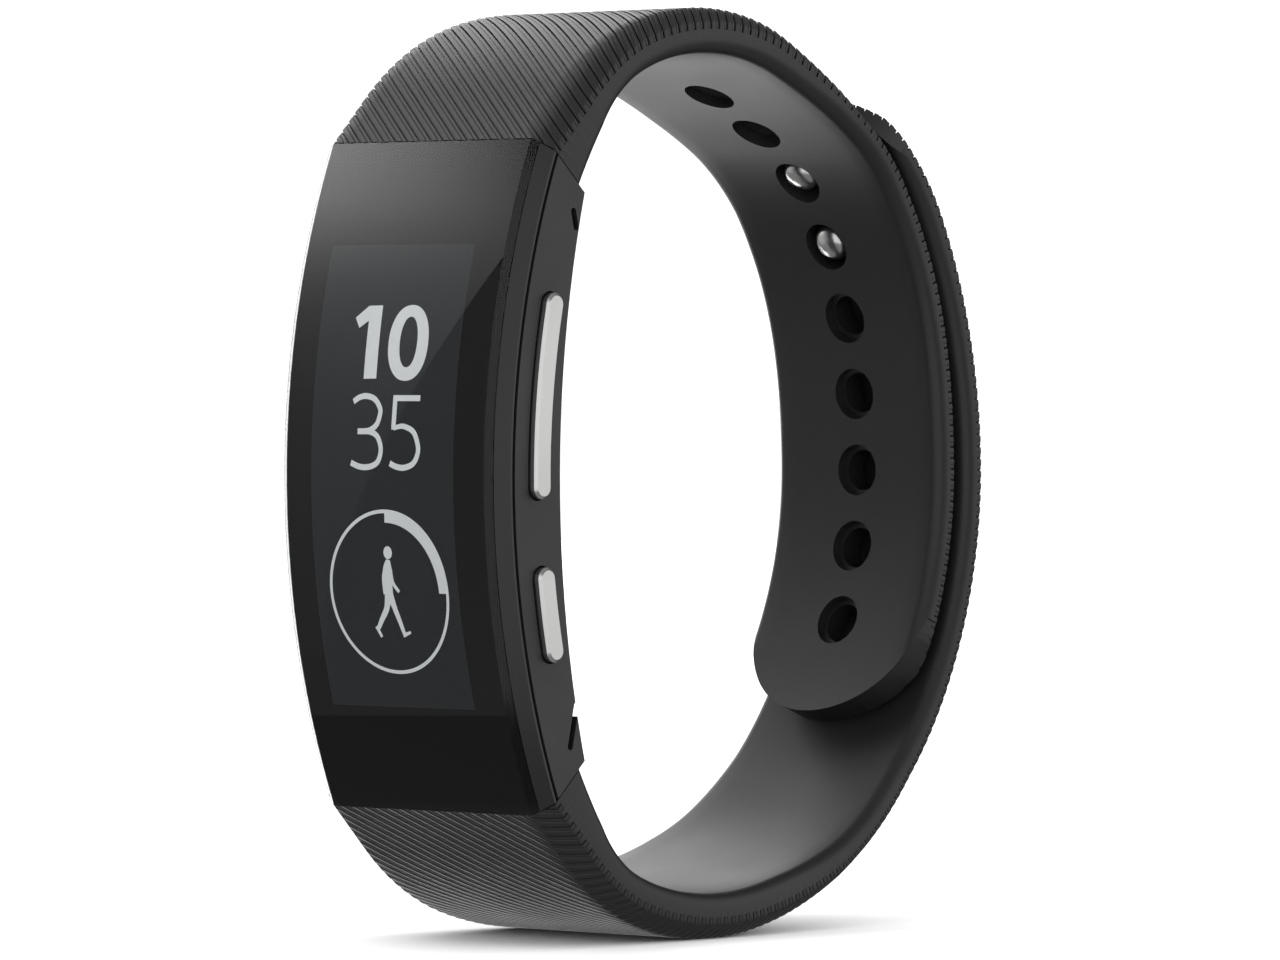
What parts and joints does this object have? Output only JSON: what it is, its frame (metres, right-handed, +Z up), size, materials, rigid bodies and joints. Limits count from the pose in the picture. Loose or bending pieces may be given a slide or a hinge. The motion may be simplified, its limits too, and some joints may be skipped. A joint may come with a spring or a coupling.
{
  "type": "fitness tracker band",
  "caption": "Wrist-worn activity band: curved display core with side keys and a ribbed two-piece strap closed by studs through adjustment holes.",
  "frame": {"origin": "centre of the strap's width and of the closed loop's depth, at the loop's lowest point", "axes": "+X along the wrist towards the side keys, -Y outwards from the display, +Z up along the core's length"},
  "size_m": [0.0232, 0.0546, 0.066],
  "materials": {
    "cover_glass": "clear hard glass, black print on its back",
    "bezel_black": "satin black moulded plastic",
    "seal_black": "matt black gasket rubber",
    "housing_black": "fine matt black plastic",
    "cover_black": "smooth satin black plastic",
    "strap_silicone": "matt dark grey silicone rubber",
    "key_aluminium": "satin anodised, polished bevel",
    "stud_steel": "polished stainless steel",
    "plate_steel": "stamped stainless steel",
    "screw_steel": "black zinc-plated steel",
    "display_paper": "reflective monochrome panel, grey",
    "board_green": "solder mask over laminate",
    "shield_steel": "tinned steel can",
    "battery_foil": "laminated foil pouch",
    "part_black": "moulded component plastic",
    "socket_steel": "plated socket shell",
    "flex_amber": "polyimide film",
    "insert_nylon": "glass-filled nylon"
  },
  "bodies": {
    "core": {"cover_glass": "cover_glass", "bezel_frame": "bezel_black", "case_seals": "seal_black", "housing": "housing_black", "rear_cover": "cover_black", "rear_cover_screws": "screw_steel", "display_panel": "display_paper", "display_flex": "flex_amber", "main_board": "board_green", "processor_shield": "shield_steel", "battery": "battery_foil", "speaker": "part_black", "microphone": "part_black", "vibration_motor": "shield_steel", "usb_port": "socket_steel", "radio_antenna": "flex_amber", "contactless_coil": "flex_amber", "volume_switches": "part_black", "action_switch": "part_black", "upper_strap": "strap_silicone", "upper_strap_anchor": "insert_nylon", "lower_strap": "strap_silicone", "lower_strap_anchor": "insert_nylon"},
    "volume_rocker": {"volume_rocker": "key_aluminium"},
    "action_button": {"action_button": "key_aluminium"},
    "wrap_tail": {"upper_strap_tail": "strap_silicone"},
    "clasp_tail": {"lower_strap_tail": "strap_silicone", "clasp_plate": "plate_steel", "clasp_studs": "stud_steel"}
  },
  "joints": [
    {"name": "volume_rocker_tilt", "type": "hinge", "parent": "core", "child": "volume_rocker", "pos_m": [0.011, -0.02322, 0.03861], "axis": [0, 1, 0], "range_deg": [-1.5, 1.5], "stiffness_Nm_per_rad": 0.05},
    {"name": "action_button_press", "type": "slide", "parent": "core", "child": "action_button", "axis": [-1, 0, 0], "range_m": [0, 0.0003], "stiffness_N_per_m": 400},
    {"name": "wrap_tail_flex", "type": "hinge", "parent": "core", "child": "wrap_tail", "pos_m": [0, 0.02103, 0.04139], "axis": [-1, 0, 0], "range_deg": [0, 35], "stiffness_Nm_per_rad": 0.02, "springref_deg": -2.86},
    {"name": "clasp_tail_peel", "type": "hinge", "parent": "core", "child": "clasp_tail", "pos_m": [0, 0.02715, 0.03646], "axis": [-1, 0, 0], "range_deg": [0, 75], "stiffness_Nm_per_rad": 0.02, "springref_deg": -2.86}
  ]
}
